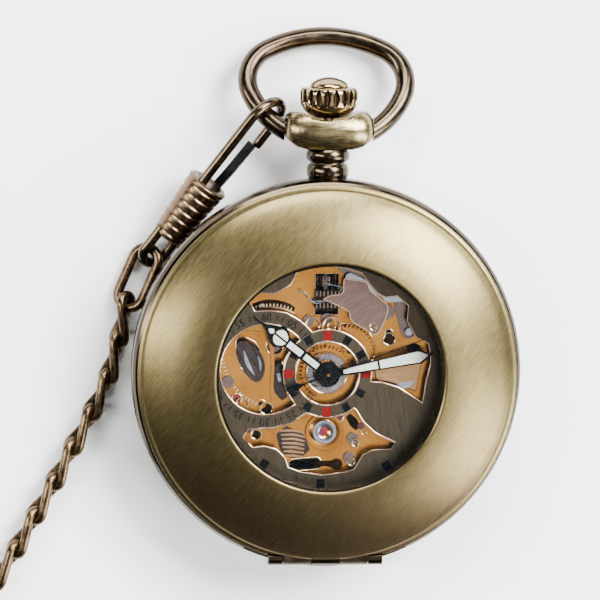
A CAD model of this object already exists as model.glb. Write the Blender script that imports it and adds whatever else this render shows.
import math

import bmesh
import bpy
from mathutils import Matrix, Vector


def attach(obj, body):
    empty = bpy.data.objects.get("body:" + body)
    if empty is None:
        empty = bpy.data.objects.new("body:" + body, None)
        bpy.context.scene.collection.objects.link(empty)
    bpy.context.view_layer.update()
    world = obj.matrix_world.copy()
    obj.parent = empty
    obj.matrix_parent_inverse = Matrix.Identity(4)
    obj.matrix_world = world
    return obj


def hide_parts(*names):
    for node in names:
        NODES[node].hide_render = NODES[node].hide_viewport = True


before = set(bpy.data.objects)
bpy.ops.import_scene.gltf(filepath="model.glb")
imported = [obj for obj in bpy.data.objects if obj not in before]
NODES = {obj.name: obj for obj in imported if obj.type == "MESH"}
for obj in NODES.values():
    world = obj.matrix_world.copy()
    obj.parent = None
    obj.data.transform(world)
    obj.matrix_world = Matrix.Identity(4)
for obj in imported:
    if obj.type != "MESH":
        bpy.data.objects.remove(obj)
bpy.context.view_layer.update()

MM = 0.001


# ---------------------------------------------------------------- numbers of the part

STEM_Z = 6.6
PIVOT_Y = 29.1
HINGE = (-22.35, 10.3)
CASE_KNUCKLES = [(-6.9, -5.2), (-1.65, 1.65), (5.2, 6.9)]
LID_KNUCKLES = [(-5.1, -1.75), (1.75, 5.1)]
BOW = dict(a=9.55, up=5.8, low=7.9, side=4.6, wire=1.17, end=5.38, lean=26.4)
FLUTES = 20
NECK_TOP_Y = 26.92
PLATE_Z = 7.9
COVER_Z = (9.08, 9.24)
DIAL_Z = 9.7
HOUR_LUME_Z = (10.08, 10.13)
MINUTE_LUME_Z = (10.48, 10.53)
BALANCE_AT = (-0.05, -7.3)
SCALE_AT = (-7.45, 0.5)
HOUR, MINUTE = 307.5, 78.8
PITCH, WIRE, LINK_W, LINK_Z = 4.77, 0.57, 3.6, 1.53
LINK_C = PITCH + 2 * WIRE + 0.2
LINKS, SEEN, RUN = 66, 7, 14
START = (-24.12, 5.4)
TURNS = [-100, -105, -114, -118, -117, -119, -119, -122, -138, -164, 164, 128, 90]
FIRST = dict(at=(-22.29, 10.58, 1.55), turn=-112.8, tilt=29, c=7.71, w=4.6, wire=0.62)
HOOK = dict(at=(-14.19, 22.35, 4.49), turn=54.48, pitch=14.06, roll=55.14, eye_roll=33.7)
ARCH = dict(r=2.66, w=1.18, d=10.29, tip=6.41, wire=0.7)
SEEN_WIRE = 0.88
FERRULE = dict(length=8.3, r1=2.6, r2=1.95, ribs=7)


# ---------------------------------------------------------------- camera

CAMERA_AIM = Vector((-3.356, 8.83, 9.0))
CAMERA_DISTANCE = 0.5
CAMERA_LENS = 250.5


def set_camera():
    """The viewpoint: nearly straight down on the dial, a little from the left and from 12 o'clock."""
    az, el, roll = (math.radians(a) for a in (-6.15, 7.28, 0.92))
    n = Vector((math.sin(az), math.sin(el), 0))
    n.z = math.sqrt(1 - n.x ** 2 - n.y ** 2)
    right = (-n).cross(Vector((0, 1, 0))).normalized()
    up = right.cross(-n)
    r = right * math.cos(roll) + up * math.sin(roll)
    u = up * math.cos(roll) - right * math.sin(roll)
    data = bpy.data.cameras.new("camera")
    data.lens, data.sensor_width = CAMERA_LENS, 36
    data.clip_start, data.clip_end = 0.01, 20
    cam = bpy.data.objects.new("camera", data)
    turn = Matrix((r, u, n)).transposed().to_4x4()
    cam.matrix_world = Matrix.Translation(CAMERA_AIM * MM + n * CAMERA_DISTANCE) @ turn
    bpy.context.scene.collection.objects.link(cam)
    bpy.context.scene.camera = cam


set_camera()


# ---------------------------------------------------------------- mesh helpers

def new_piece(name, bm, mat, body, slot, replaces=(), angle=35):
    """A mesh object from a bmesh in millimetres, shaded smooth up to an angle, riding on a body."""
    mesh = bpy.data.meshes.new(name)
    bmesh.ops.recalc_face_normals(bm, faces=bm.faces)
    bm.to_mesh(mesh)
    bm.free()
    mesh.transform(Matrix.Scale(MM, 4))
    mesh.shade_smooth()
    mesh.set_sharp_from_angle(angle=math.radians(angle))
    mesh.materials.append(mat)
    obj = bpy.data.objects.new(name, mesh)
    bpy.context.scene.collection.objects.link(obj)
    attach(obj, body)
    if replaces:
        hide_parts(*replaces)
    return obj


def curve_through(points, steps=6):
    """A smooth line through points of any dimension, ends kept."""
    pts = [Vector(p) for p in points]
    ends = [pts[0] * 2 - pts[1]] + pts + [pts[-1] * 2 - pts[-2]]
    out = []
    for a, b, c, d in zip(ends, ends[1:], ends[2:], ends[3:]):
        for i in range(steps):
            t = i / steps
            out.append(0.5 * (
                2 * b + (c - a) * t + (2 * a - 5 * b + 4 * c - d) * t * t
                + (3 * b - a - 3 * c + d) * t ** 3
            ))
    return out + [pts[-1]]


def grid(bm, rows, close_rows=False):
    """Faces between rows of points, each row a ring; gives back the rows of vertices."""
    verts = [[bm.verts.new(p) for p in row] for row in rows]
    n, m = len(verts), len(verts[0])
    for i in range(n if close_rows else n - 1):
        for j in range(m):
            a, b = verts[i], verts[(i + 1) % n]
            bm.faces.new((a[j], a[(j + 1) % m], b[(j + 1) % m], b[j]))
    return verts


def lathe(bm, profile, place=Matrix.Identity(4), segments=192, closed=True, shape=None):
    """A solid of revolution about Z from (radius, height) points; shape may move each point."""
    rows = []
    for r, h in profile:
        row = []
        for j in range(segments):
            a = 2 * math.pi * j / segments
            q = r + (shape(a, r, h) if shape else 0)
            row.append(place @ Vector((q * math.cos(a), q * math.sin(a), h)))
        rows.append(row)
    verts = grid(bm, rows, close_rows=closed)
    if not closed:
        bm.faces.new(list(reversed(verts[0])))
        bm.faces.new(verts[-1])


def along_stem():
    """Turns a lathe's Z axis into +Y at the height of the stem."""
    return Matrix.Translation((0, 0, STEM_Z)) @ Matrix.Rotation(math.radians(-90), 4, "X")


def sweep(bm, path, ring, closed=False, scale=None):
    """A tube along a path; the ring's points are (sideways, upwards). UV 'along' holds the
    distance along the path and the way round it."""
    path = [Vector(p) for p in path]
    n, m = len(path), len(ring)
    up = Vector((0, 0, 1))
    rows, dist, run = [], [], 0.0
    for i, p in enumerate(path):
        a = path[i - 1] if i or closed else p
        b = path[(i + 1) % n] if i < n - 1 or closed else p
        t = (b - a).normalized()
        side = t.cross(up)
        if side.length < 1e-3:
            side = t.cross(Vector((1, 0, 0)))
        side.normalize()
        top = side.cross(t)
        k = scale(i / (n - 1)) if scale else 1
        rows.append([p + (side * x + top * y) * k for x, y in ring])
        run += (p - path[i - 1]).length if i else 0
        dist.append(run)
    first = len(bm.faces)
    verts = grid(bm, rows, close_rows=closed)
    if not closed:
        bm.faces.new(list(reversed(verts[0])))
        bm.faces.new(verts[-1])
    uv = bm.loops.layers.uv.get("along") or bm.loops.layers.uv.new("along")
    bm.faces.ensure_lookup_table()
    for i in range(n if closed else n - 1):
        for j in range(m):
            face = bm.faces[first + i * m + j]
            nxt = dist[i + 1] if i + 1 < n else dist[i] + (path[0] - path[i]).length
            corners = ((dist[i], j), (dist[i], j + 1), (nxt, j + 1), (nxt, j))
            for loop, (u, v) in zip(face.loops, corners):
                loop[uv].uv = (u, v / m)


def circle(r, n):
    """A ring of n points in a plane."""
    return [
        (r * math.cos(2 * math.pi * i / n), r * math.sin(2 * math.pi * i / n)) for i in range(n)
    ]


def inset(outline, d):
    """The outline moved inwards by d, its corners kept from running out too far."""
    n = len(outline)
    out = []
    for i in range(n):
        a, b, c = (Vector(outline[j % n]) for j in (i - 1, i, i + 1))
        e, f = (b - a).normalized(), (c - b).normalized()
        normal = Vector((-(e.y + f.y), e.x + f.x))
        if normal.length < 1e-6:
            normal = Vector((-e.y, e.x))
        normal.normalize()
        k = max(0.5, abs(normal.dot(Vector((-e.y, e.x)))))
        out.append(b + normal * d / k)
    return out


def prism(bm, outline, z0, z1, place=Matrix.Identity(4), bevel=0.0):
    """A plate with the outline, its top edge bevelled."""
    rows = [
        [place @ Vector((p[0], p[1], z0)) for p in outline],
        [place @ Vector((p[0], p[1], z1 - bevel)) for p in outline],
    ]
    if bevel:
        rows.append([place @ Vector((p.x, p.y, z1)) for p in inset(outline, bevel)])
    verts = grid(bm, rows)
    bm.faces.new(list(reversed(verts[0])))
    bm.faces.new(verts[-1])


def trim(name, node, z, width, mat, slot):
    """A fine polished band along the sharp edges that a CAD plate has at height z."""
    bm = bmesh.new()
    bm.from_mesh(NODES[node].data)
    bmesh.ops.remove_doubles(bm, verts=bm.verts, dist=2e-6)
    bm.verts.index_update()
    ahead = {}
    for e in bm.edges:
        if any(abs(v.co.z - z * MM) > 3e-6 for v in e.verts) or len(e.link_faces) != 2:
            continue
        flat = [abs(f.normal.z) > 0.9 for f in e.link_faces]
        if flat[0] != flat[1]:
            for a, b in (e.verts, reversed(e.verts)):
                ahead.setdefault(a.index, []).append(b.index)
    bm.verts.ensure_lookup_table()
    out = bmesh.new()
    ring = [(-width, -0.04), (-width, 0.015), (-width * 0.7, 0.03), (width * 0.7, 0.03),
            (width, 0.015), (width, -0.04)]
    left = set(ahead)
    while left:
        loop = [left.pop()]
        while True:
            nxt = [v for v in ahead[loop[-1]] if v in left]
            if not nxt:
                break
            loop.append(nxt[0])
            left.discard(nxt[0])
        pts = []
        for v in loop:
            p = bm.verts[v].co / MM
            if not pts or (p - pts[-1]).length > 0.02:
                pts.append(p.copy())
        if len(pts) > 2:
            sweep(out, pts, ring, closed=loop[0] in ahead[loop[-1]])
    bm.free()
    new_piece(name, out, mat, "case", slot, angle=50)


# ---------------------------------------------------------------- materials

def shader(name):
    """A new material with its nodes, links and main shader."""
    mat = bpy.data.materials.new(name)
    mat.use_nodes = True
    return mat, mat.node_tree.nodes, mat.node_tree.links, mat.node_tree.nodes["Principled BSDF"]


def ramp(nodes, links, value, stops):
    """Colours along a value, from (position, colour) stops."""
    node = nodes.new("ShaderNodeValToRGB")
    while len(node.color_ramp.elements) < len(stops):
        node.color_ramp.elements.new(0.5)
    for element, (at, colour) in zip(node.color_ramp.elements, stops):
        element.position = at
        element.color = (*colour, 1)
    links.new(value, node.inputs["Fac"])
    return node.outputs["Color"]


def spread(nodes, links, value, lo, hi):
    """Stretches the busy middle of a noise to the range lo to hi."""
    node = nodes.new("ShaderNodeMapRange")
    node.inputs["From Min"].default_value = 0.3
    node.inputs["From Max"].default_value = 0.7
    node.inputs["To Min"].default_value = lo
    node.inputs["To Max"].default_value = hi
    links.new(value, node.inputs["Value"])
    return node.outputs["Result"]


def noise(nodes, links, vector, scale, stretch=(1, 1, 1), turn=(0, 0, 0), detail=6, rough=0.6):
    """Noise on a vector that is turned first and stretched after."""
    tilt = nodes.new("ShaderNodeMapping")
    tilt.inputs["Rotation"].default_value = [math.radians(a) for a in turn]
    links.new(vector, tilt.inputs["Vector"])
    place = nodes.new("ShaderNodeMapping")
    place.inputs["Scale"].default_value = stretch
    links.new(tilt.outputs["Vector"], place.inputs["Vector"])
    node = nodes.new("ShaderNodeTexNoise")
    node.inputs["Scale"].default_value = scale
    node.inputs["Detail"].default_value = detail
    node.inputs["Roughness"].default_value = rough
    links.new(place.outputs["Vector"], node.inputs["Vector"])
    return node.outputs["Fac"]


def mix(nodes, links, kind, fac, a, b):
    """Blends two colours; each of fac, a and b is a value or a socket."""
    node = nodes.new("ShaderNodeMix")
    node.data_type = "RGBA"
    node.blend_type = kind
    for socket, value in ((node.inputs[0], fac), (node.inputs[6], a), (node.inputs[7], b)):
        if isinstance(value, (int, float)):
            socket.default_value = value
        elif isinstance(value, tuple):
            socket.default_value = (*value, 1)
        else:
            links.new(value, socket)
    return node.outputs[2]


def relief(nodes, links, bsdf, height, strength, distance):
    node = nodes.new("ShaderNodeBump")
    node.inputs["Strength"].default_value = strength
    node.inputs["Distance"].default_value = distance
    links.new(height, node.inputs["Height"])
    links.new(node.outputs["Normal"], bsdf.inputs["Normal"])


def metal(
    name, dark, light, rough=(0.25, 0.4), scale=500, stretch=(1, 1, 1), turn=(0, 0, 0),
    patina=None, patina_scale=90, patina_amount=(0.5, 0.75), bump=0.05, uv=None,
):
    """A worn metal: fine grain between two colours, patches of patina, grain in its gloss."""
    mat, nodes, links, bsdf = shader(name)
    if uv:
        source = nodes.new("ShaderNodeUVMap")
        source.uv_map = uv
        vector = source.outputs["UV"]
    else:
        vector = nodes.new("ShaderNodeTexCoord").outputs["Object"]
    where = nodes.new("ShaderNodeTexCoord").outputs["Object"]
    grain = noise(nodes, links, vector, scale, stretch, turn)
    colour = ramp(nodes, links, grain, [(0.3, dark), (0.7, light)])
    if patina:
        cloud = noise(nodes, links, where, patina_scale, detail=4)
        mask = ramp(nodes, links, cloud, [
            (patina_amount[0], (0, 0, 0)), (patina_amount[1], (1, 1, 1)),
        ])
        colour = mix(nodes, links, "MIX", mask, colour, patina)
    links.new(colour, bsdf.inputs["Base Color"])
    links.new(spread(nodes, links, grain, *rough), bsdf.inputs["Roughness"])
    bsdf.inputs["Metallic"].default_value = 1.0
    relief(nodes, links, bsdf, grain, bump, 0.0001)
    return mat


def lid_metal():
    """Antique bronze, brushed in slanting strokes, browner in the worn patches low on the left."""
    mat, nodes, links, bsdf = shader("lid_bronze_finish")
    where = nodes.new("ShaderNodeTexCoord").outputs["Object"]
    fine = noise(nodes, links, where, 1.0, (7000, 700, 700), (0, 0, 38), 4, 0.55)
    broad = noise(nodes, links, where, 1.0, (1300, 110, 110), (0, 0, 3), 5)
    cloud = noise(nodes, links, where, 45, detail=3)
    colour = ramp(nodes, links, fine, [
        (0.35, (0.118, 0.091, 0.037)), (0.5, (0.14, 0.109, 0.046)), (0.7, (0.172, 0.136, 0.06)),
    ])
    colour = mix(nodes, links, "OVERLAY", 0.22, colour, ramp(
        nodes, links, broad, [(0.3, (0.36, 0.35, 0.33)), (0.7, (0.64, 0.64, 0.62))]
    ))
    split = nodes.new("ShaderNodeSeparateXYZ")
    links.new(where, split.inputs["Vector"])
    low = nodes.new("ShaderNodeMath")
    low.operation = "MULTIPLY_ADD"
    low.inputs[1].default_value = -32
    low.inputs[2].default_value = 0.05
    links.new(split.outputs["Y"], low.inputs[0])
    blot = nodes.new("ShaderNodeMath")
    blot.operation = "MULTIPLY"
    links.new(low.outputs[0], blot.inputs[0])
    links.new(cloud, blot.inputs[1])
    mask = ramp(nodes, links, blot.outputs[0], [(0.12, (0, 0, 0)), (0.5, (0.55, 0.55, 0.55))])
    colour = mix(nodes, links, "MIX", mask, colour, (0.15, 0.095, 0.06))
    links.new(colour, bsdf.inputs["Base Color"])
    links.new(spread(nodes, links, fine, 0.30, 0.335), bsdf.inputs["Roughness"])
    bsdf.inputs["Metallic"].default_value = 1.0
    relief(nodes, links, bsdf, fine, 0.025, 0.00004)
    return mat


def glass():
    """Mineral glass: nearly clear, with a faint reflection and the finest scratches."""
    mat, nodes, links, bsdf = shader("crystal_finish")
    where = nodes.new("ShaderNodeTexCoord").outputs["Object"]
    hair = noise(nodes, links, where, 1.0, (2500, 120, 100), (0, 0, 35), 3)
    smear = ramp(nodes, links, hair, [(0.6, (0.026, 0.026, 0.026)), (0.95, (0.032, 0.032, 0.032))])
    bsdf.inputs["Base Color"].default_value = (0.02, 0.03, 0.035, 1)
    bsdf.inputs["Roughness"].default_value = 0.03
    bsdf.inputs["Specular IOR Level"].default_value = 0.5
    to_value = nodes.new("ShaderNodeRGBToBW")
    links.new(smear, to_value.inputs["Color"])
    links.new(to_value.outputs["Val"], bsdf.inputs["Alpha"])
    return mat


def enamel(name, colour, other, rough=(0.3, 0.5), scale=900):
    """Paint or lume: two close tones in a fine grain."""
    mat, nodes, links, bsdf = shader(name)
    where = nodes.new("ShaderNodeTexCoord").outputs["Object"]
    grain = noise(nodes, links, where, scale, detail=4)
    links.new(ramp(nodes, links, grain, [(0.3, colour), (0.7, other)]), bsdf.inputs["Base Color"])
    links.new(spread(nodes, links, grain, *rough), bsdf.inputs["Roughness"])
    bsdf.inputs["Specular IOR Level"].default_value = 0.06
    return mat


def ruby_stone():
    """Dark red stone with a thin clear shine."""
    mat, nodes, links, bsdf = shader("ruby_finish")
    where = nodes.new("ShaderNodeTexCoord").outputs["Object"]
    grain = noise(nodes, links, where, 1500, detail=3)
    links.new(
        ramp(nodes, links, grain, [(0.3, (0.05, 0.001, 0.004)), (0.7, (0.16, 0.006, 0.012))]),
        bsdf.inputs["Base Color"],
    )
    links.new(spread(nodes, links, grain, 0.06, 0.14), bsdf.inputs["Roughness"])
    bsdf.inputs["Coat Weight"].default_value = 0.35
    return mat


MAT = {
    "lid_bronze": lid_metal(),
    "case_dark": metal(
        "case_dark_finish", (0.028, 0.021, 0.013), (0.066, 0.051, 0.031), (0.12, 0.22), 300,
        patina=(0.05, 0.036, 0.024), patina_scale=120, bump=0.02,
    ),
    "case_gold": metal(
        "case_gold_finish", (0.20, 0.155, 0.072), (0.30, 0.24, 0.125), (0.2, 0.32), 1.0,
        (700, 4200, 700), patina=(0.13, 0.095, 0.05), patina_scale=160, bump=0.04,
    ),
    "black_rim": metal(
        "black_rim_finish", (0.008, 0.008, 0.007), (0.03, 0.027, 0.022), (0.16, 0.3), 700,
        bump=0.02,
    ),
    "crown_copper": metal(
        "crown_copper_finish", (0.10, 0.064, 0.035), (0.175, 0.116, 0.066), (0.22, 0.34), 900,
        patina=(0.06, 0.036, 0.02), patina_scale=300, patina_amount=(0.5, 0.85), bump=0.02,
    ),
    "crown_gold": metal(
        "crown_gold_finish", (0.22, 0.155, 0.072), (0.33, 0.245, 0.125), (0.14, 0.24), 900,
        patina=(0.13, 0.085, 0.04), patina_scale=300, patina_amount=(0.5, 0.8), bump=0.02,
    ),
    "bow_bronze": metal(
        "bow_bronze_finish", (0.030, 0.022, 0.014), (0.080, 0.060, 0.038), (0.14, 0.3), 1.0,
        (0.5, 14, 1), patina=(0.045, 0.028, 0.02), patina_scale=170, bump=0.05, uv="along",
    ),
    "bow_wire": metal(
        "bow_wire_finish", (0.045, 0.031, 0.019), (0.115, 0.083, 0.05), (0.14, 0.3), 700,
        patina=(0.05, 0.03, 0.02), patina_scale=170, bump=0.04,
    ),
    "chain_brass": metal(
        "chain_brass_finish", (0.055, 0.034, 0.017), (0.15, 0.10, 0.052), (0.2, 0.38), 1100,
        patina=(0.02, 0.012, 0.009), patina_scale=330, patina_amount=(0.5, 0.7), bump=0.08,
    ),
    "gate_black": metal(
        "gate_black_finish", (0.003, 0.003, 0.003), (0.012, 0.012, 0.012), (0.3, 0.45), 1200,
        bump=0.1,
    ),
    "dial_olive": metal(
        "dial_olive_finish", (0.066, 0.052, 0.033), (0.094, 0.075, 0.05), (0.26, 0.36), 1.0,
        (5200, 300, 300), (0, 0, -14), bump=0.04,
    ),
    "dial_edge": metal(
        "dial_edge_finish", (0.55, 0.33, 0.19), (0.90, 0.64, 0.44), (0.12, 0.22), 900, bump=0.02,
    ),
    "gilt": metal(
        "gilt_finish", (0.57, 0.245, 0.043), (0.61, 0.275, 0.055), (0.2, 0.28), 1.0,
        (700, 1800, 600), (0, 0, 30), patina=(0.36, 0.12, 0.016), patina_scale=210,
        patina_amount=(0.42, 0.85), bump=0.004,
    ),
    "gilt_edge": metal(
        "gilt_edge_finish", (0.70, 0.45, 0.20), (0.95, 0.72, 0.42), (0.08, 0.16), 900, bump=0.02,
    ),
    "steel": metal(
        "steel_finish", (0.185, 0.135, 0.12), (0.23, 0.17, 0.155), (0.2, 0.3), 1.0,
        (5600, 420, 500), (0, 0, 20), bump=0.03,
    ),
    "spring_steel": metal(
        "spring_steel_finish", (0.24, 0.26, 0.30), (0.52, 0.54, 0.60), (0.12, 0.24), 800, bump=0.03,
    ),
    "hand_black": metal(
        "hand_black_finish", (0.004, 0.004, 0.004), (0.02, 0.02, 0.02), (0.1, 0.2), 900, bump=0.02,
    ),
    "crystal": glass(),
    "mark_black": enamel("mark_black_finish", (0.0006, 0.0006, 0.0006), (0.002, 0.002, 0.002)),
    "mark_red": enamel("mark_red_finish", (0.085, 0.0008, 0.0006), (0.11, 0.0012, 0.001), (0.5, 0.7)),
    "lume": enamel("lume_finish", (0.38, 0.39, 0.33), (0.46, 0.47, 0.41), (0.5, 0.7), 1800),
    "ruby": ruby_stone(),
    "slot_dark": metal(
        "slot_dark_finish", (0.012, 0.007, 0.004), (0.045, 0.026, 0.014), (0.3, 0.5), 900, bump=0.03,
    ),
    "pit": metal(
        "pit_finish", (0.006, 0.003, 0.001), (0.03, 0.014, 0.005), (0.25, 0.45), 900, bump=0.05,
    ),
    "cover_steel": metal(
        "cover_steel_finish", (0.20, 0.125, 0.105), (0.255, 0.165, 0.14), (0.2, 0.32), 1.0,
        (4200, 300, 400), (0, 0, 50), patina=(0.15, 0.10, 0.085), patina_scale=240, bump=0.02,
    ),
    "dark_steel": metal(
        "dark_steel_finish", (0.035, 0.027, 0.024), (0.085, 0.068, 0.062), (0.16, 0.3), 1.0,
        (3800, 300, 400), (0, 0, -35), bump=0.03,
    ),
    "block_gold": metal(
        "block_gold_finish", (0.42, 0.225, 0.095), (0.60, 0.36, 0.18), (0.2, 0.3), 1.0,
        (300, 5200, 400), bump=0.04,
    ),
}

CARRIED = {
    "case_dark": ["case_middle", "bezel", "hinge_pin"],
    "case_gold": ["back_cover", "stem_collar"],
    "black_rim": ["dial_surround", "window_ring"],
    "dial_olive": ["dial_plate"],
    "mark_black": ["dial_marks"],
    "mark_red": ["dial_reds"],
    "hand_black": ["hour_hand", "minute_hand", "seconds_hand"],
    "gate_black": ["hook_gate"],
    "crystal": ["crystal"],
    "ruby": ["jewels"],
    "bow_wire": ["far_hook"],
    "gilt": [
        "movement_ring", "main_plate", "barrel_bridge", "train_bridge", "pallet_cock",
        "balance_cock", "jewel_settings", "barrel", "barrel_cover", "centre_wheel",
        "third_wheel", "fourth_wheel", "balance_wheel", "minute_wheel", "hour_wheel",
    ],
    "steel": [
        "winding_stem", "winding_pinion", "sliding_pinion", "screws", "setting_lever", "yoke",
        "barrel_arbor", "ratchet_wheel", "click", "crown_wheel", "cannon_pinion",
        "escape_wheel", "pallet_fork", "regulator",
    ],
    "spring_steel": ["lock_spring", "lift_spring", "lever_spring", "mainspring", "hairspring"],
}
for key, names in CARRIED.items():
    for name in names:
        for place in NODES[name].material_slots:
            place.material = MAT[key]


# ---------------------------------------------------------------- lid

def build_lid():
    """The domed front lid with its beaded edge, cut out where the case's knuckles stand."""
    dome = curve_through([
        (22.2, 11.5), (21.2, 12.06), (19.8, 12.66), (18.2, 13.22), (16.4, 13.7), (14.9, 14.0),
        (14.0, 14.14),
    ], 8)
    bead = [
        (22.74 + 0.13 * math.cos(a), 11.02 + 0.14 * math.sin(a)) for a in (-1.2, -0.6, 0, 0.6, 1.2)
    ]
    under = curve_through([
        (13.9, 13.45), (14.9, 13.3), (16.4, 13.0), (18.2, 12.52), (19.8, 11.96), (20.9, 11.45),
    ], 3)
    profile = [(20.9, 10.85), (22.5, 10.85)] + bead + [(22.6, 11.24), (22.4, 11.28)]
    profile += [tuple(p) for p in dome]
    profile += [(13.86, 14.13), (13.72, 14.07), (13.63, 13.96), (13.6, 13.8), (13.6, 13.5)]
    profile += [tuple(p) for p in under]
    bm = bmesh.new()
    lathe(bm, profile, segments=320)
    lid = new_piece("lid_dome", bm, MAT["lid_bronze"], "lid", "lid_bronze", ("lid",), 28)
    cutter = bmesh.new()
    for a, b in CASE_KNUCKLES:
        place = Matrix.Translation((a - 0.1, HINGE[0], HINGE[1])) @ Matrix.Rotation(math.pi / 2, 4, "Y")
        lathe(cutter, [(1.2, 0), (1.2, b - a + 0.2)], place, 48, closed=False)
    mesh = bpy.data.meshes.new("notch")
    bmesh.ops.recalc_face_normals(cutter, faces=cutter.faces)
    cutter.to_mesh(mesh)
    cutter.free()
    mesh.transform(Matrix.Scale(MM, 4))
    tool = bpy.data.objects.new("notch", mesh)
    bpy.context.scene.collection.objects.link(tool)
    cut = lid.modifiers.new("notch", "BOOLEAN")
    cut.operation, cut.solver, cut.object = "DIFFERENCE", "EXACT", tool
    dg = bpy.context.evaluated_depsgraph_get()
    lid_mesh = bpy.data.meshes.new_from_object(lid.evaluated_get(dg))
    lid.modifiers.clear()
    lid.data = lid_mesh
    bpy.data.objects.remove(tool)
    lid_mesh.set_sharp_from_angle(angle=math.radians(28))


def build_knuckles():
    """The lid's two tubes round the hinge pin, each with the tongue that joins it to the lid."""
    bm = bmesh.new()
    for a, b in LID_KNUCKLES:
        place = Matrix.Translation((a, HINGE[0], HINGE[1])) @ Matrix.Rotation(math.pi / 2, 4, "Y")
        w = b - a
        lathe(bm, [
            (0.46, 0), (0.74, 0), (0.8, 0.07), (0.8, w - 0.07), (0.74, w), (0.46, w),
        ], place, 48)
        tongue = ((-22.8, 10.95), (-21.5, 10.75), (-21.5, 11.35), (-22.7, 11.25))
        ends = grid(bm, [[Vector((x, y, z)) for y, z in tongue] for x in (a, b)])
        bm.faces.new(list(reversed(ends[0])))
        bm.faces.new(ends[-1])
    new_piece("lid_knuckles", bm, MAT["bow_wire"], "lid", "bow_bronze")


build_lid()
build_knuckles()


# ---------------------------------------------------------------- pendant

def build_pendant():
    """The dark beads of the neck and the gold saddle-cut bulb, their facets smoothed away."""
    for name, keep, key, nodes in (
        ("pendant_bulb", 1, "case_gold", ("pendant",)), ("pendant_neck", -1, "case_dark", ()),
    ):
        bm = bmesh.new()
        bm.from_mesh(NODES["pendant"].data)
        bm.transform(Matrix.Scale(1 / MM, 4))
        bmesh.ops.remove_doubles(bm, verts=bm.verts, dist=0.002)
        bmesh.ops.dissolve_limit(bm, angle_limit=math.radians(0.5), verts=bm.verts, edges=bm.edges)
        bmesh.ops.bisect_plane(
            bm, geom=list(bm.verts) + list(bm.edges) + list(bm.faces), dist=1e-4,
            plane_co=(0, NECK_TOP_Y, 0), plane_no=(0, keep, 0), clear_inner=True,
        )
        new_piece(name, bm, MAT[key], "case", key, nodes, 38)


build_pendant()


# ---------------------------------------------------------------- crown

def build_crown():
    """The fluted crown, the dark floors of its flutes, and the dome on top."""
    shape = curve_through([
        (1.9, 30.65), (2.5, 31.0), (3.0, 31.5), (3.3, 31.95), (3.4, 32.4), (3.42, 33.1),
        (3.4, 33.7), (3.24, 34.08), (2.9, 34.2), (2.3, 34.25),
    ], 8)

    def flute(angle, _radius, h):
        t = (angle * FLUTES / (2 * math.pi)) % 1 - 0.5
        v = (h - 33.05) / 1.12
        if abs(v) >= 1:
            return 0
        half = 0.36 * (1 - abs(v) ** 2.2)
        depth = max(0.0, 1 - (abs(t) / half) ** 2) if half > 0.01 else 0
        return -0.5 * math.sqrt(depth) * (1 - v ** 4) + 0.03

    profile = [(0.62, 30.66)] + [tuple(p) for p in shape]
    profile += [(0.5, 34.25), (0.5, 32.2), (0.62, 32.2)]
    for name, key, slots, nodes in (
        ("crown_fluted", "crown_gold", False, ("crown",)), ("crown_slots", "slot_dark", True, ()),
    ):
        bm = bmesh.new()
        lathe(bm, profile, along_stem(), FLUTES * 22, shape=flute)
        out = []
        for face in bm.faces:
            p = face.calc_center_median()
            deep = flute(math.atan2(STEM_Z - p.z, p.x), 0, p.y) < -0.08
            inside = math.hypot(p.x, p.z - STEM_Z) < 1.2
            if (deep and not inside) != slots:
                out.append(face)
        bmesh.ops.delete(bm, geom=out, context="FACES")
        new_piece(name, bm, MAT[key], "crown", "crown_copper", nodes, 40)

    bm = bmesh.new()
    dome = curve_through([
        (2.29, 34.44), (2.1, 34.73), (1.67, 35.04), (1.0, 35.3), (0.45, 35.41), (0.02, 35.43),
    ], 6)
    lathe(bm, [(0.02, 34.26), (2.24, 34.26), (2.3, 34.34)] + [tuple(p) for p in dome],
          along_stem(), 96)
    new_piece("crown_dome", bm, MAT["crown_gold"], "crown", "crown_copper", ("crown_cap",))


build_crown()


# ---------------------------------------------------------------- bow

def bow_path():
    """The bow's middle line from three kinds of arc, and the matrix that leans it on its pivot."""
    c = BOW["a"] - BOW["side"]
    cu = (c ** 2 - (BOW["up"] - BOW["side"]) ** 2) / (2 * (BOW["up"] - BOW["side"]))
    cl = (c ** 2 - (BOW["low"] - BOW["side"]) ** 2) / (2 * (BOW["low"] - BOW["side"]))
    ru, rl = BOW["up"] + cu, BOW["low"] + cl
    au, al = math.atan2(cu, c), math.atan2(cl, c)
    ae, cut = math.acos((BOW["end"] + 0.07) / rl), math.acos((BOW["end"] - 1.2) / rl)
    lift = rl * math.sin(ae) - cl
    half = []
    for i in range(30):
        a = -cut + (cut - al) * i / 30
        half.append(Vector((rl * math.cos(a), cl + rl * math.sin(a))))
    for i in range(44):
        a = -al + (al + au) * i / 44
        half.append(Vector((c + BOW["side"] * math.cos(a), BOW["side"] * math.sin(a))))
    for i in range(31):
        a = au + (math.pi / 2 - au) * i / 30
        half.append(Vector((ru * math.cos(a), ru * math.sin(a) - cu)))
    line = half + [Vector((-p.x, p.y)) for p in reversed(half[:-1])]
    lean = Matrix.Translation((0, PIVOT_Y, STEM_Z))
    lean @= Matrix.Rotation(math.radians(-BOW["lean"]), 4, "X")
    return [Vector((p.x, p.y + lift, 0)) for p in line], lean


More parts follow.
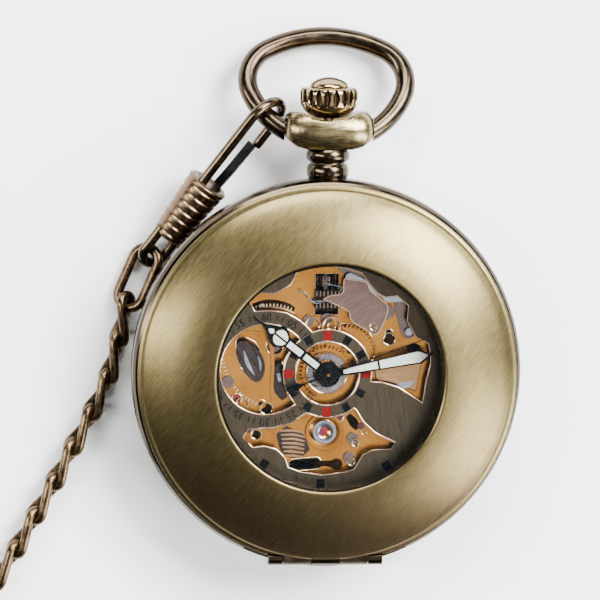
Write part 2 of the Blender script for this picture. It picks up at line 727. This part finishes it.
def build_bow():
    """The bow with its ends cut flat and a short pin in each."""
    path, lean = bow_path()
    bm = bmesh.new()
    sweep(bm, path, circle(BOW["wire"], 36))
    for s in (-1, 1):
        near = [v for v in bm.verts if v.co.x * s > 0 and v.co.y < 3]
        faces = {f for v in near for f in v.link_faces}
        edges = {e for v in near for e in v.link_edges}
        cut = bmesh.ops.bisect_plane(
            bm, geom=near + list(edges) + list(faces), dist=1e-5,
            plane_co=(s * BOW["end"], 0, 0), plane_no=(-s, 0, 0), clear_outer=True,
        )
        rim = [e for e in cut["geom_cut"] if isinstance(e, bmesh.types.BMEdge)]
        bmesh.ops.contextual_create(bm, geom=rim)
    for s in (-1, 1):
        place = Matrix.Translation((s * 4.1, 0, 0)) @ Matrix.Rotation(s * math.pi / 2, 4, "Y")
        lathe(bm, [(0.6, 0), (0.6, BOW["end"] - 3.8)], place, 32, closed=False)
    bm.transform(lean)
    new_piece("bow_ring", bm, MAT["bow_bronze"], "bow", "bow_bronze", ("bow",), 40)


build_bow()


# ---------------------------------------------------------------- hook

def hook_frame(roll):
    """Where the hook's own axes are, rolled about its length."""
    h = HOOK
    return (
        Matrix.Translation(h["at"]) @ Matrix.Rotation(math.radians(h["turn"] - 90), 4, "Z")
        @ Matrix.Rotation(math.radians(h["pitch"]), 4, "X")
        @ Matrix.Rotation(math.radians(roll), 4, "Y")
    )


def arch_path():
    """The wire's middle line: a long straight side, the bend, and the short side with the tip."""
    a = ARCH
    pts = [Vector((a["w"] - a["r"], -1.4 + (a["d"] + 1.4) * i / 16, 0)) for i in range(16)]
    pts += [
        Vector((a["w"] + a["r"] * math.cos(t), a["d"] + a["r"] * math.sin(t), 0))
        for t in (math.pi * (1 - i / 28) for i in range(29))
    ]
    pts += [
        Vector((a["w"] + a["r"], a["d"] + (a["tip"] - a["d"]) * (i + 1) / 8, 0)) for i in range(8)
    ]
    return pts


def eye_path():
    """The loop at the hook's lower end: two straight sides and the bend between them."""
    r, start, bend = 1.5, -7.6, -11
    loop = [Vector((r, start + (bend - start) * i / 10, 0)) for i in range(10)]
    loop += [
        Vector((r * math.cos(t), bend + r * math.sin(t), 0))
        for t in (-math.pi * i / 26 for i in range(27))
    ]
    return loop + [Vector((-r, bend + (start - bend) * (i + 1) / 10, 0)) for i in range(10)]


def build_hook_wire():
    """The wire is thinner than the CAD's, so that it clears the pendant when the bow is raised."""
    bm = bmesh.new()
    sweep(bm, arch_path(), circle(ARCH["wire"] * SEEN_WIRE, 24),
          scale=lambda t: 1.0 if t < 0.985 else 0.9)
    bm.transform(hook_frame(HOOK["roll"]))
    eye = bmesh.new()
    sweep(eye, eye_path(), circle(0.63, 20))
    eye.transform(hook_frame(HOOK["eye_roll"]))
    mesh = bpy.data.meshes.new("eye")
    eye.to_mesh(mesh)
    eye.free()
    bm.from_mesh(mesh)
    bpy.data.meshes.remove(mesh)
    new_piece("hook_wire", bm, MAT["bow_wire"], "hook", "bow_bronze", ("hook",), 45)


def build_hook_barrel():
    """The tapered barrel round the wire's end, ribbed by narrow grooves."""
    f = FERRULE
    n, cuts = f["ribs"], 14
    prof = [(0.05, 0.0), (1.55, 0.0), (1.72, -0.12), (2.3, -0.12), (2.5, 0.0)]
    for i in range(n):
        for k in range(cuts):
            t = (i + k / cuts) / n
            r = f["r1"] + (f["r2"] - f["r1"]) * t
            groove = max(0.0, 1 - abs(k / cuts - 0.5) / 0.2)
            prof.append((r - 0.16 * groove, 0.12 + (f["length"] - 0.3) * t))
    prof += [(1.85, f["length"] - 0.1), (1.7, f["length"]), (0.05, f["length"])]
    bm = bmesh.new()
    lathe(bm, prof, Matrix.Rotation(math.pi / 2, 4, "X"), 96, closed=False)
    bm.transform(hook_frame(0))
    new_piece("hook_barrel", bm, MAT["crown_copper"], "hook", "crown_copper", ("hook_barrel",), 50)


build_hook_wire()
build_hook_barrel()


# ---------------------------------------------------------------- chain

def chain_path():
    """[x, y, heading] of every link, the same way that the part lays them."""
    def heading(i):
        if i < len(TURNS):
            return TURNS[i]
        run, k = divmod(i - len(TURNS), RUN + 1)
        return 180 if k == RUN else (90 if run % 2 == 0 else 270)

    out, (x, y), h = [], START, TURNS[0]
    for i in range(LINKS):
        out.append((x, y, h))
        d = heading(i + 1) - heading(i)
        d += -360 if d > 180 else 360 if d < -180 else 0
        x += PITCH * math.cos(math.radians(h + d / 2))
        y += PITCH * math.sin(math.radians(h + d / 2))
        h += d
    return out


def link_line(c, w, r, twist=0.0, start=0.0, flat=1.0):
    """The middle line of an oval link along X, twisted about X."""
    rc = w / 2 - r
    h = c / 2 - rc
    straight, arc = 2 * h, math.pi * rc
    count = 56
    pts = []
    for k in range(count):
        s = k / count * 2 * (straight + arc)
        if s < straight:
            p = (-h + s, rc)
        elif s < straight + arc:
            a = math.pi / 2 - (s - straight) / rc
            p = (h + rc * math.cos(a), rc * math.sin(a))
        elif s < 2 * straight + arc:
            p = (h - (s - straight - arc), -rc)
        else:
            a = -math.pi / 2 - (s - 2 * straight - arc) / rc
            p = (-h + rc * math.cos(a), rc * math.sin(a))
        roll = math.radians(start + twist * p[0] / (h + rc))
        pts.append(Vector((p[0], p[1] * math.cos(roll), p[1] * math.sin(roll) * flat)))
    return pts


def add_links(bm, which):
    """Sweeps the chosen links of the chain into one mesh."""
    line = link_line(LINK_C, LINK_W, WIRE, twist=-44, start=90, flat=0.78)
    ring = circle(WIRE, 14)
    path = chain_path()
    for i in which:
        x, y, h = path[i]
        place = Matrix.Translation((x, y, LINK_Z)) @ Matrix.Rotation(math.radians(h), 4, "Z")
        sweep(bm, [place @ p for p in line], ring, closed=True)


def build_chain():
    """The plain first link with the links beside the watch, and the folded rest."""
    bm = bmesh.new()
    add_links(bm, range(SEEN))
    f = FIRST
    place = (
        Matrix.Translation(f["at"]) @ Matrix.Rotation(math.radians(f["turn"]), 4, "Z")
        @ Matrix.Rotation(math.radians(f["tilt"]), 4, "X")
    )
    first = [place @ p for p in link_line(f["c"], f["w"], f["wire"])]
    sweep(bm, first, circle(f["wire"], 18), closed=True)
    new_piece("chain_seen", bm, MAT["chain_brass"], "hook", "chain_brass", ("chain_run",), 60)
    bm = bmesh.new()
    add_links(bm, range(SEEN, LINKS))
    new_piece("chain_folded", bm, MAT["chain_brass"], "hook", "chain_brass", ("chain_coil",), 60)


build_chain()


# ---------------------------------------------------------------- dial and hands

trim("dial_edges", "dial_plate", DIAL_Z, 0.085, MAT["dial_edge"], "gilt")


def build_numerals():
    """Plain numerals of the small scale, as one mesh standing just proud of the dial."""
    radius = 6.3
    curves = []
    for i, label in enumerate(("60", "05", "10", "", "20", "25", "30", "35", "40", "", "50", "55")):
        if not label:
            continue
        text = bpy.data.curves.new("numeral", "FONT")
        text.body = label
        text.size = 1.25
        text.extrude = 0.012
        text.align_x, text.align_y = "CENTER", "CENTER"
        obj = bpy.data.objects.new("numeral", text)
        bpy.context.scene.collection.objects.link(obj)
        a = math.radians(30 * i)
        place = Matrix.Translation((
            SCALE_AT[0] + radius * math.sin(a), SCALE_AT[1] + radius * math.cos(a), DIAL_Z + 0.015
        )) @ Matrix.Rotation(-a, 4, "Z")
        curves.append((obj, place))
    bpy.context.view_layer.update()
    dg = bpy.context.evaluated_depsgraph_get()
    bm = bmesh.new()
    for obj, place in curves:
        mesh = bpy.data.meshes.new_from_object(obj.evaluated_get(dg))
        mesh.transform(place)
        bm.from_mesh(mesh)
        bpy.data.meshes.remove(mesh)
    for obj, _ in curves:
        bpy.data.objects.remove(obj)
    new_piece("dial_numerals", bm, MAT["mark_black"], "case", "mark_black")


build_numerals()


def build_lume():
    """Pale fields in the openings of the two broad hands."""
    bm = bmesh.new()
    turn = Matrix.Rotation(math.radians(-HOUR), 4, "Z")
    for outline in (
        [(-0.36, 1.5), (0.36, 1.5), (0.36, 3.55), (-0.36, 3.55)],
        [(-0.38, 3.95), (0.38, 3.95), (0.38, 6.05), (-0.38, 6.05)],
        [(-0.12, 6.3), (-0.12, 8.05), (-0.5, 8.0), (-0.92, 7.6), (-0.98, 7.1), (-0.6, 6.5)],
        [(0.12, 6.3), (0.6, 6.5), (0.98, 7.1), (0.92, 7.6), (0.5, 8.0), (0.12, 8.05)],
        [(0, 8.2), (0.36, 8.5), (0.12, 9.0), (-0.12, 9.0), (-0.36, 8.5)],
    ):
        prism(bm, outline, *HOUR_LUME_Z, turn, 0.02)
    new_piece("hour_lume", bm, MAT["lume"], "hour", "hand_black")
    bm = bmesh.new()
    turn = Matrix.Rotation(math.radians(-MINUTE), 4, "Z")
    for outline in (
        [(-0.26, 1.9), (0.26, 1.9), (0.46, 6.1), (-0.46, 6.1)],
        [(-0.48, 6.35), (0.48, 6.35), (0.66, 11.2), (0.1, 12.2), (-0.1, 12.2), (-0.66, 11.2)],
    ):
        prism(bm, outline, *MINUTE_LUME_Z, turn, 0.02)
    new_piece("minute_lume", bm, MAT["lume"], "centre", "hand_black")


build_lume()


# ---------------------------------------------------------------- movement trims

trim("plate_edges", "main_plate", PLATE_Z, 0.06, MAT["gilt_edge"], "gilt")


def washer(bm, x, y, r0, r1, z0, z1):
    """A flat ring, or a disc when r0 is tiny, with its top edges rounded."""
    k = min(0.05, (r1 - r0) / 3)
    lathe(bm, [
        (r0, z0), (r1, z0), (r1, z1 - k), (r1 - k, z1), (r0 + min(k, r0), z1), (r0, z1 - k / 2),
    ], Matrix.Translation((x, y, 0)), 40)


def strap(bm, points, width, z0, z1):
    """A flat bent strip along the points; width is one number or one for each point."""
    wide = [width] * len(points) if isinstance(width, (int, float)) else width
    line = curve_through([(x, y, w) for (x, y), w in zip(points, wide)], 5)
    left, right = [], []
    for i, p in enumerate(line):
        d = line[min(i + 1, len(line) - 1)] - line[max(i - 1, 0)]
        side = Vector((-d.y, d.x)).normalized() * p.z / 2
        left.append((p.x + side.x, p.y + side.y))
        right.append((p.x - side.x, p.y - side.y))
    prism(bm, right + left[::-1], z0, z1, bevel=min(0.03, min(wide) / 5))


def teeth(bm, cx, cy, r, a0, a1, count, size, z0, z1):
    """A row of small teeth on an arc."""
    for i in range(count):
        a = math.radians(a0 + (a1 - a0) * i / (count - 1))
        out, side = Vector((math.cos(a), math.sin(a))), Vector((-math.sin(a), math.cos(a)))
        at = Vector((cx, cy)) + out * r
        w, h = size
        prism(bm, [
            tuple(at - out * h + side * -w), tuple(at + out * h + side * -w * 0.5),
            tuple(at + out * h + side * w * 0.5), tuple(at - out * h + side * w),
        ], z0, z1)


def detail(name, mat, slot, draw, body="case"):
    """One piece of the movement from the function that draws it."""
    bm = bmesh.new()
    draw(bm)
    new_piece(name, bm, MAT[mat], body, slot)


COVER = [
    (-0.6, 9.0), (1.43, 8.1), (2.53, 7.46), (2.93, 6.35), (4.83, 5.2), (5.53, 4.7), (6.23, 5.05),
    (6.98, 6.7), (7.23, 8.1), (6.53, 8.84), (5.13, 10.0), (4.53, 11.0), (2.53, 11.35),
    (1.9, 11.3), (1.75, 9.7), (0.4, 9.4),
]


def build_keyless():
    """Steel cover, its bright edge and screw, the toothed recess under it and the spring wires."""
    outline = [(p.x, p.y) for p in curve_through(COVER + COVER[:1], 4)[:-1]]
    def plate(bm):
        prism(bm, outline, *COVER_Z, bevel=0.04)
    detail("cover_plate", "cover_steel", "steel", plate)
    detail("cover_edge", "dial_edge", "gilt", lambda bm: sweep(
        bm, [(x, y, COVER_Z[1] - 0.005) for x, y in outline],
        [(-0.05, -0.02), (-0.05, 0.02), (0.05, 0.02), (0.05, -0.02)], closed=True,
    ))

    def rings(bm):
        washer(bm, 5.5, 5.62, 0.36, 0.56, 9.2, 9.28)
        washer(bm, -1.7, 5.75, 0.78, 1.0, 8.2, 8.4)
        washer(bm, 0.5, 5.65, 0.95, 1.2, 8.83, 8.97)
        washer(bm, 0.5, 5.65, 0.42, 0.56, 8.85, 9.0)
        washer(bm, 7.66, 3.95, 0.66, 0.86, PLATE_Z, 7.98)
        washer(bm, -10.1, -3.95, 0.62, 0.86, PLATE_Z, 8.1)
        washer(bm, -7.1, -4.55, 0.62, 0.9, PLATE_Z, 8.1)
        washer(bm, 3.25, -10.95, 0.34, 0.56, 8.2, 8.4)
        washer(bm, 3.7, -8.65, 0.34, 0.56, 8.2, 8.4)
        washer(bm, 4.8, -7.35, 0.3, 0.46, PLATE_Z, 8.02)
        washer(bm, -8.3, -7.65, 0.52, 0.76, PLATE_Z, 8.02)
    detail("gilt_rings", "gilt_edge", "gilt", rings)

    def pits(bm):
        washer(bm, 7.66, 3.95, 0.02, 0.66, PLATE_Z, 7.94)
        washer(bm, -7.1, -4.55, 0.02, 0.62, PLATE_Z, 7.94)
        washer(bm, -8.3, -7.65, 0.02, 0.5, PLATE_Z, 7.95)
        strap(bm, [(9.9, 2.6), (10.7, 2.8), (11.3, 2.6)], [0.9, 1.3, 0.9], PLATE_Z, 7.93)
        strap(bm, [(-1.5, 9.0), (0.1, 8.8), (1.7, 9.1)], [2.2, 2.5, 2.2], 8.86, 8.9)
        strap(bm, [(-8.9, 7.9), (-7.2, 8.25), (-5.2, 8.0), (-3.9, 7.5)], [0.7, 1.0, 1.0, 0.6], PLATE_Z, 7.93)
        strap(bm, [(-1.2, -11.3), (0.2, -11.2), (1.4, -11.3)], [0.8, 0.7, 1.0], PLATE_Z, 7.94)
        washer(bm, 1.5, -11.3, 0.02, 0.72, PLATE_Z, 7.945)
        strap(bm, [(2.8, -5.3), (3.5, -6.2), (4.0, -7.0)], [0.7, 1.1, 0.6], PLATE_Z, 7.94)
    detail("dark_recesses", "pit", "black_rim", pits)

    def wires(bm):
        for pts, r in (
            ([(-3.5, 9.6), (-3.1, 9.9), (-2.5, 9.4), (-2.0, 8.7), (-0.9, 8.75), (0.6, 8.6),
              (2.9, 7.6)], 0.09),
            ([(-2.4, 9.1), (-1.5, 8.45), (-0.6, 8.75)], 0.11),
            ([(-0.7, 10.9), (0.9, 10.6), (2.0, 10.2), (2.3, 9.4)], 0.08),
        ):
            path = curve_through([(x, y, COVER_Z[0] + 0.04) for x, y in pts])
            sweep(bm, path, circle(r, 10))
        washer(bm, -7.75, 7.95, 0.02, 0.36, 7.93, 7.98)
    detail("spring_wires", "spring_steel", "spring_steel", wires)

    def works(bm):
        teeth(bm, -6.6, 1.9, 6.2, 68, 112, 12, (0.1, 0.16), 7.93, 8.0)
        strap(bm, [(-9.3, 7.3), (-7.2, 7.75), (-5.0, 7.55), (-3.9, 7.1)], 0.3, 7.93, 8.0)
        teeth(bm, -5.5, 2.6, 7.1, 174, 246, 20, (0.11, 0.2), PLATE_Z, 8.02)
    detail("rack_teeth", "gilt_edge", "gilt", works)

    def black_teeth(bm):
        for y in (9.6, 8.2):
            for i in range(7):
                x = -1.35 + 0.45 * i
                prism(bm, [(x - 0.13, y - 0.35), (x + 0.13, y - 0.35), (x + 0.09, y + 0.35),
                           (x - 0.09, y + 0.35)], 8.9, 9.05, bevel=0.03)
    detail("recess_teeth", "steel", "steel", black_teeth)


def build_left_window():
    """Dark steel leaves, their bright streaks and the gold bars left of the centre."""
    def leaf(bm):
        outline = curve_through([
            (-10.9, 3.4), (-9.9, 3.75), (-8.4, 2.9), (-7.5, 1.5), (-7.35, 0.3), (-7.7, -0.9),
            (-8.6, -1.25), (-9.7, -0.2), (-10.5, 1.3), (-10.9, 3.4),
        ], 4)[:-1]
        prism(bm, [(p.x, p.y) for p in outline][::-1], PLATE_Z, 7.95, bevel=0.02)
        strap(bm, [(-5.4, 1.0), (-5.9, -0.6), (-5.5, -2.2), (-4.9, -3.3)], [0.9, 1.3, 1.3, 0.8], PLATE_Z, 7.95)
    detail("steel_leaves", "dark_steel", "steel", leaf)

    def shine(bm):
        strap(bm, [(-9.9, 2.5), (-9.4, 0.9), (-8.6, -0.4)], [0.16, 0.5, 0.12], 7.955, 7.975)
        strap(bm, [(-8.2, 1.9), (-7.9, 0.9), (-7.9, 0.1)], [0.1, 0.3, 0.1], 7.955, 7.975)
        strap(bm, [(-5.7, -0.2), (-5.5, -1.2)], [0.5, 0.4], 7.955, 7.975)
    detail("leaf_shine", "spring_steel", "spring_steel", shine)

    def bars(bm):
        strap(bm, [(-6.8, 4.2), (-6.5, 2.4), (-6.4, 0.2), (-6.5, -2.0), (-6.1, -3.4)],
              [0.8, 0.5, 0.42, 0.5, 0.9], 7.93, 8.05)
        strap(bm, [(-11.2, 4.6), (-9.4, 4.75), (-7.4, 4.5), (-6.2, 3.2)], [0.5, 0.45, 0.45, 0.5], 7.93, 8.03)
    detail("gold_bars", "gilt", "gilt", bars)


def build_centre():
    """The toothed ring and the two bright rims on the hour wheel."""
    def drum(bm):
        for i in range(40):
            a = 2 * math.pi * i / 40
            c, n = math.cos(a), math.sin(a)
            place = Matrix(((c, -n, 0, 0), (n, c, 0, 0), (0, 0, 1, 0), (0, 0, 0, 1)))
            prism(bm, [(1.75, -0.07), (2.35, -0.11), (2.35, 0.11), (1.75, 0.07)], 9.2, 9.32, place)
        washer(bm, 0, 0, 1.62, 1.8, 9.2, 9.36)
    detail("hour_ring", "spring_steel", "spring_steel", drum, "hour")

    def rim(bm):
        washer(bm, 0, 0, 1.45, 1.62, 9.2, 9.4)
        washer(bm, 0, 0, 2.4, 2.55, 9.2, 9.34)
    detail("hour_rim", "gilt_edge", "gilt", rim, "hour")


def build_lower_window():
    """The balance jewel's seat, the fan of strips, and the gold block at 3 o'clock."""
    detail("balance_disc", "gilt", "gilt", lambda bm: washer(
        bm, *BALANCE_AT, 1.45, 2.3, PLATE_Z, 8.2))
    detail("balance_seat", "spring_steel", "spring_steel", lambda bm: washer(
        bm, *BALANCE_AT, 0.72, 1.45, 8.02, 8.34))

    def fan(bm):
        for i in range(7):
            k = i / 6
            strap(bm, [(-5.4 + 0.5 * k, -7.2 - 3.0 * k), (-3.9 + 0.2 * k, -7.15 - 3.1 * k),
                       (-2.35 - 0.1 * k, -7.5 - 2.9 * k)], [0.24, 0.34, 0.24], PLATE_Z, 7.96)
    detail("fan_strips", "block_gold", "gilt", fan)
    detail("fan_shadow", "dark_steel", "steel", lambda bm: strap(
        bm, [(-5.3, -7.1), (-3.9, -8.7), (-2.4, -10.2)], [1.6, 3.4, 2.0], 7.86, 7.905))

    def blocks(bm):
        prism(bm, [(5.65, 1.2), (6.1, -0.9), (8.6, -1.5), (11.0, -2.4), (11.6, 0.9), (11.3, 1.9),
                   (8.0, 1.4)], PLATE_Z, 8.3, bevel=0.1)
    detail("gold_block", "block_gold", "gilt", blocks)
    detail("block_glint", "spring_steel", "spring_steel", lambda bm: prism(
        bm, [(8.3, -1.5), (9.2, -2.15), (10.3, -1.7), (10.9, -0.95)], 8.3, 8.34))


build_keyless()
build_left_window()
build_centre()
build_lower_window()


# ---------------------------------------------------------------- floor, light

def build_stage():
    """A plain pale floor just under the part."""
    bm = bmesh.new()
    bmesh.ops.create_grid(bm, x_segments=1, y_segments=1, size=4000)
    mesh = bpy.data.meshes.new("floor")
    bm.to_mesh(mesh)
    bm.free()
    mesh.transform(Matrix.Scale(MM, 4))
    mat, nodes, links, bsdf = shader("floor_paper")
    where = nodes.new("ShaderNodeTexCoord").outputs["Object"]
    grain = noise(nodes, links, where, 120, detail=3)
    links.new(
        ramp(nodes, links, grain, [(0.3, (0.90, 0.90, 0.90)), (0.7, (0.92, 0.92, 0.92))]),
        bsdf.inputs["Base Color"],
    )
    bsdf.inputs["Roughness"].default_value = 0.8
    mesh.materials.append(mat)
    floor = bpy.data.objects.new("floor", mesh)
    floor.location.z = -0.0003
    bpy.context.scene.collection.objects.link(floor)


def softbox(name, at, size, power):
    """A white rectangular light aimed at the middle of the case."""
    data = bpy.data.lights.new(name, "AREA")
    data.shape = "RECTANGLE"
    data.size, data.size_y = size
    data.energy = power
    lamp = bpy.data.objects.new(name, data)
    lamp.location = at
    lamp.rotation_mode = "QUATERNION"
    lamp.rotation_quaternion = (Vector((0, 0, 0.01)) - Vector(at)).to_track_quat("-Z", "Y")
    bpy.context.scene.collection.objects.link(lamp)


def build_world():
    """A dim room, darker on the left."""
    world = bpy.data.worlds.new("studio")
    bpy.context.scene.world = world
    world.use_nodes = True
    nodes, links = world.node_tree.nodes, world.node_tree.links
    where = nodes.new("ShaderNodeTexCoord").outputs["Generated"]
    split = nodes.new("ShaderNodeSeparateXYZ")
    links.new(where, split.inputs["Vector"])
    side = nodes.new("ShaderNodeMapRange")
    side.inputs["From Min"].default_value = -0.8
    side.inputs["From Max"].default_value = 0.8
    links.new(split.outputs["X"], side.inputs["Value"])
    colour = ramp(nodes, links, side.outputs["Result"], [
        (0.0, (0.03, 0.03, 0.032)), (0.45, (0.11, 0.11, 0.11)), (1.0, (0.34, 0.33, 0.32)),
    ])
    links.new(colour, nodes["Background"].inputs["Color"])
    nodes["Background"].inputs["Strength"].default_value = 1.0


build_stage()
build_world()
softbox("key", (0.42, 0.34, 0.62), (0.4, 0.4), 28)
softbox("fill_right", (0.55, -0.30, 0.45), (0.3, 0.5), 9)
softbox("fill_left", (-0.65, 0.10, 0.50), (0.12, 0.7), 8)
softbox("top", (-0.05, 0.75, 0.55), (0.6, 0.2), 14)
softbox("overhead", (0.06, -0.11, 0.70), (0.26, 0.26), 0.3)
